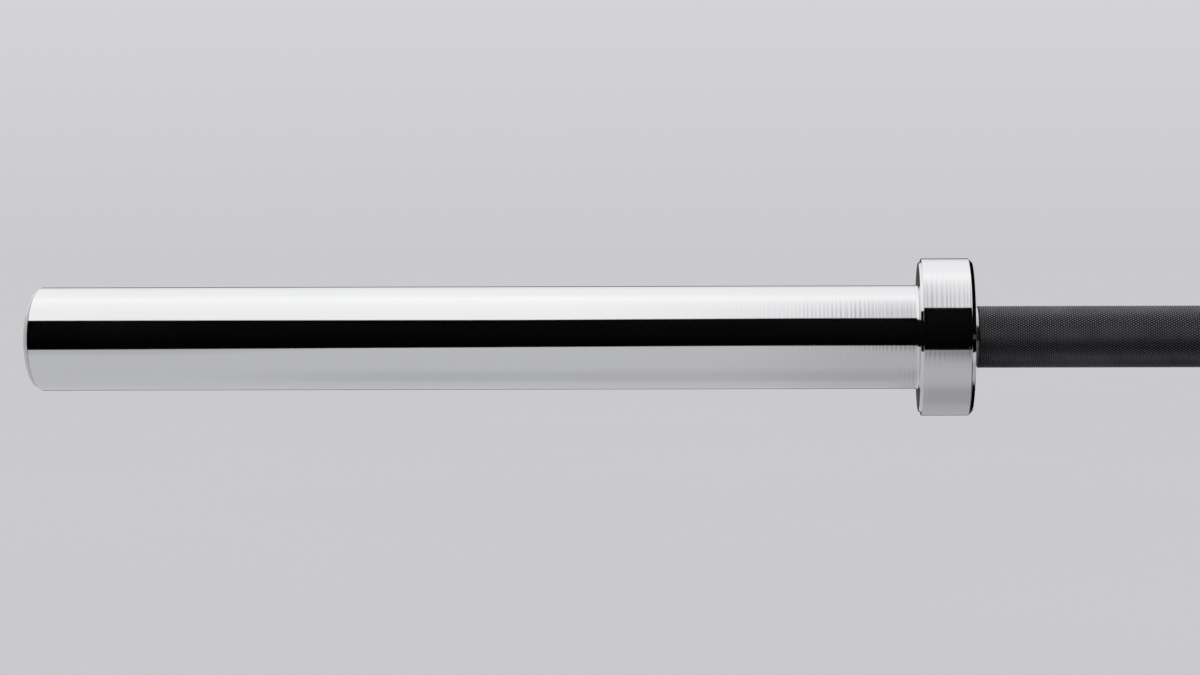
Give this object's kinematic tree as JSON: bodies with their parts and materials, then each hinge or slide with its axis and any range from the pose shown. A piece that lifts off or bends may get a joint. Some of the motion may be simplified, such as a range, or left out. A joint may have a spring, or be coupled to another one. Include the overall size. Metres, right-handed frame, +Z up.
{
  "type": "olympic barbell",
  "caption": "Full-length olympic barbell: knurled one-piece steel shaft with a chromed sleeve and collar spinning on bronze bushings at each end.",
  "frame": {"origin": "middle of the shaft, on its axis, halfway between the two collars", "axes": "X runs along the bar, with the left end at -X; +Z is up"},
  "size_m": [2.2162, 0.076, 0.076],
  "materials": {
    "shaft_steel": "bare steel, knurled",
    "sleeve_chrome": "polished hard chrome with faint turning marks",
    "bushing_bronze": "sintered bronze, fine matt",
    "washer_steel": "bright zinc plate",
    "spring_steel": "blackened spring steel",
    "cap_aluminium": "satin",
    "seal_nitrile": "matt black"
  },
  "bodies": {
    "shaft": {"shaft": "shaft_steel", "left_inner_thrust_washer": "washer_steel", "left_outer_thrust_washer": "washer_steel", "left_retaining_ring": "spring_steel", "right_inner_thrust_washer": "washer_steel", "right_outer_thrust_washer": "washer_steel", "right_retaining_ring": "spring_steel"},
    "left_sleeve": {"left_sleeve_tube": "sleeve_chrome", "left_collar": "sleeve_chrome", "left_inner_bushing": "bushing_bronze", "left_outer_bushing": "bushing_bronze", "left_end_cap": "cap_aluminium", "left_cap_o_ring": "seal_nitrile", "left_dust_seal": "seal_nitrile"},
    "right_sleeve": {"right_sleeve_tube": "sleeve_chrome", "right_collar": "sleeve_chrome", "right_inner_bushing": "bushing_bronze", "right_outer_bushing": "bushing_bronze", "right_end_cap": "cap_aluminium", "right_cap_o_ring": "seal_nitrile", "right_dust_seal": "seal_nitrile"}
  },
  "joints": [
    {"name": "left_sleeve_spin", "type": "hinge", "parent": "shaft", "child": "left_sleeve", "pos_m": [-0.8806, 0, 0], "axis": [1, 0, 0], "continuous": true},
    {"name": "right_sleeve_spin", "type": "hinge", "parent": "shaft", "child": "right_sleeve", "pos_m": [0.8806, 0, 0], "axis": [1, 0, 0], "continuous": true}
  ]
}
